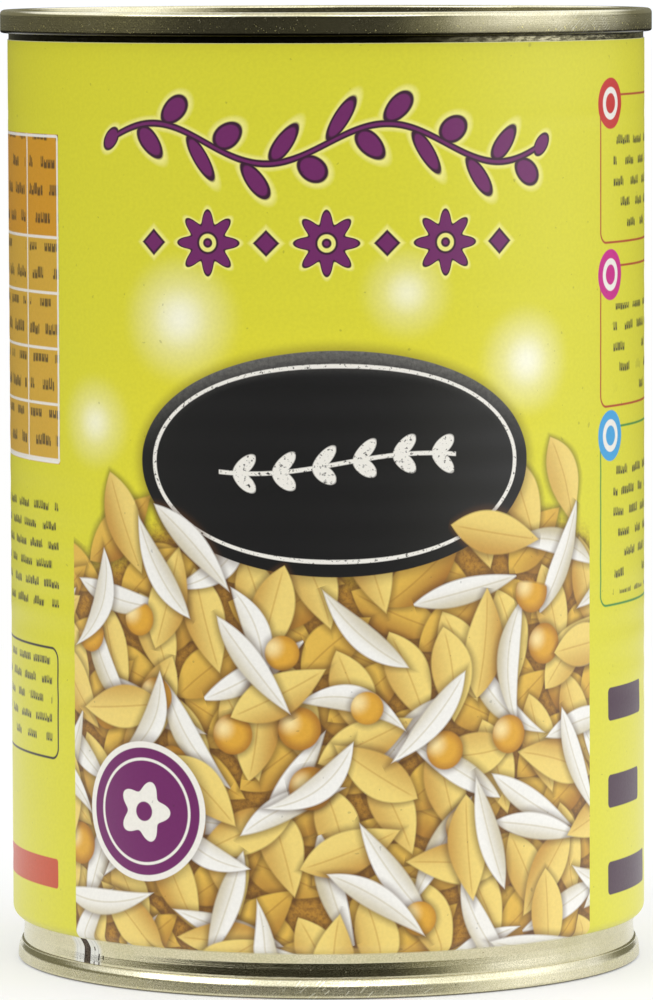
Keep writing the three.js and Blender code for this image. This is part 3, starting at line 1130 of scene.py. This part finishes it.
white = studio_white()
edge_turn = math.asin(TABLE_EDGE / TABLE_RADIUS)
behind = arc(TABLE_RADIUS, -edge_turn, math.pi + edge_turn)
before = arc(TABLE_RADIUS, math.pi + edge_turn, 2 * math.pi - edge_turn)
eighths = np.linspace(0, 2 * math.pi, 9)
ring = [(*arc(TABLE_RADIUS, start, end, 16), *arc(FLOOR_RADIUS, end, start, 16))
        for start, end in zip(eighths, eighths[1:])]
for part in (floor("floor_behind", [behind], True, True), floor("floor_before", [before], False, True),
             floor("floor_far", ring, False, False)):
    part.data.materials.append(white)


# Light

def studio_world():
    """A white backdrop for the camera. Light and reflections see a studio, with a dark card in front."""
    world = bpy.data.worlds.new("studio")
    bpy.context.scene.world = world
    world.use_nodes = True
    tree = world.node_tree
    tree.nodes.clear()
    toward = tree.nodes.new("ShaderNodeTexCoord")
    x, y, z = split(Signal(tree, toward.outputs["Generated"]))
    front = ramp(y, -0.3, -0.7)
    left = ramp(x, 0.1, -0.5)
    right = ramp(x, 0.35, 0.75)
    card = front * ramp(z, 0.32, 0.2) * ramp(z, -0.03, 0.0)
    ceiling = ramp(z, 0.3, 0.5) * ramp(z, 0.95, 0.75)
    window = right * ramp(y, 0.75, 0.45) * ramp(z, 0.6, 0.2)
    level = (0.24 + 1.3 * ceiling + window) * (1 - 0.88 * card)
    below = 0.02 + 0.06 * ramp(z, -0.07, -0.03) * (1 - 0.8 * left) + 0.4 * right * ramp(y, 0.55, 0.1)
    low = ramp(z, 0.02, -0.04)
    level = level * (1 - low) + below * low
    seen = tree.nodes.new("ShaderNodeLightPath")
    eye = Signal(tree, seen.outputs["Is Camera Ray"])
    background = tree.nodes.new("ShaderNodeBackground")
    level = level * (1 - eye) + 1.03 * eye
    tone = Picture(tree, (1.0, 0.97, 0.66, 1))
    tone.paint(ramp(level, 0.1, 0.9), (0.98, 1.0, 1.06, 1))
    tree.links.new(tone.colour.socket, background.inputs["Color"])
    tree.links.new(level.socket, background.inputs["Strength"])
    output = tree.nodes.new("ShaderNodeOutputWorld")
    tree.links.new(background.outputs[0], output.inputs["Surface"])


studio_world()
area_light("softbox_top", (0.05, -0.05, 0.8), (0, 0, 0.05), 0.8, 0.6, 1.2)
area_light("softbox_right", (0.78, -0.3, 0.26), (0, 0, 0.1), 0.8, 0.5, 0.55)
area_light("softbox_left", (-0.85, -0.55, 0.68), (0, 0, 0.06), 0.8, 0.45, 2.5)
area_light("softbox_front", (0.35, -1.1, 0.75), (0, 0, 0.06), 0.7, 0.35, 2.1)

camera_data = bpy.data.cameras.new("camera")
camera_data.sensor_fit = "VERTICAL"
camera_data.sensor_height = 36
camera_data.lens = CAMERA_LENS
camera = bpy.data.objects.new("camera", camera_data)
camera.location = (CAMERA_SIDE * MM, -CAMERA_DISTANCE * MM, CAMERA_HEIGHT * MM)
camera.rotation_euler = (
    Matrix.Rotation(math.pi / 2 - CAMERA_PITCH, 3, "X") @ Matrix.Rotation(CAMERA_ROLL, 3, "Z")
).to_euler()
bpy.context.collection.objects.link(camera)
bpy.context.scene.camera = camera
bpy.context.scene.view_settings.view_transform = "Standard"
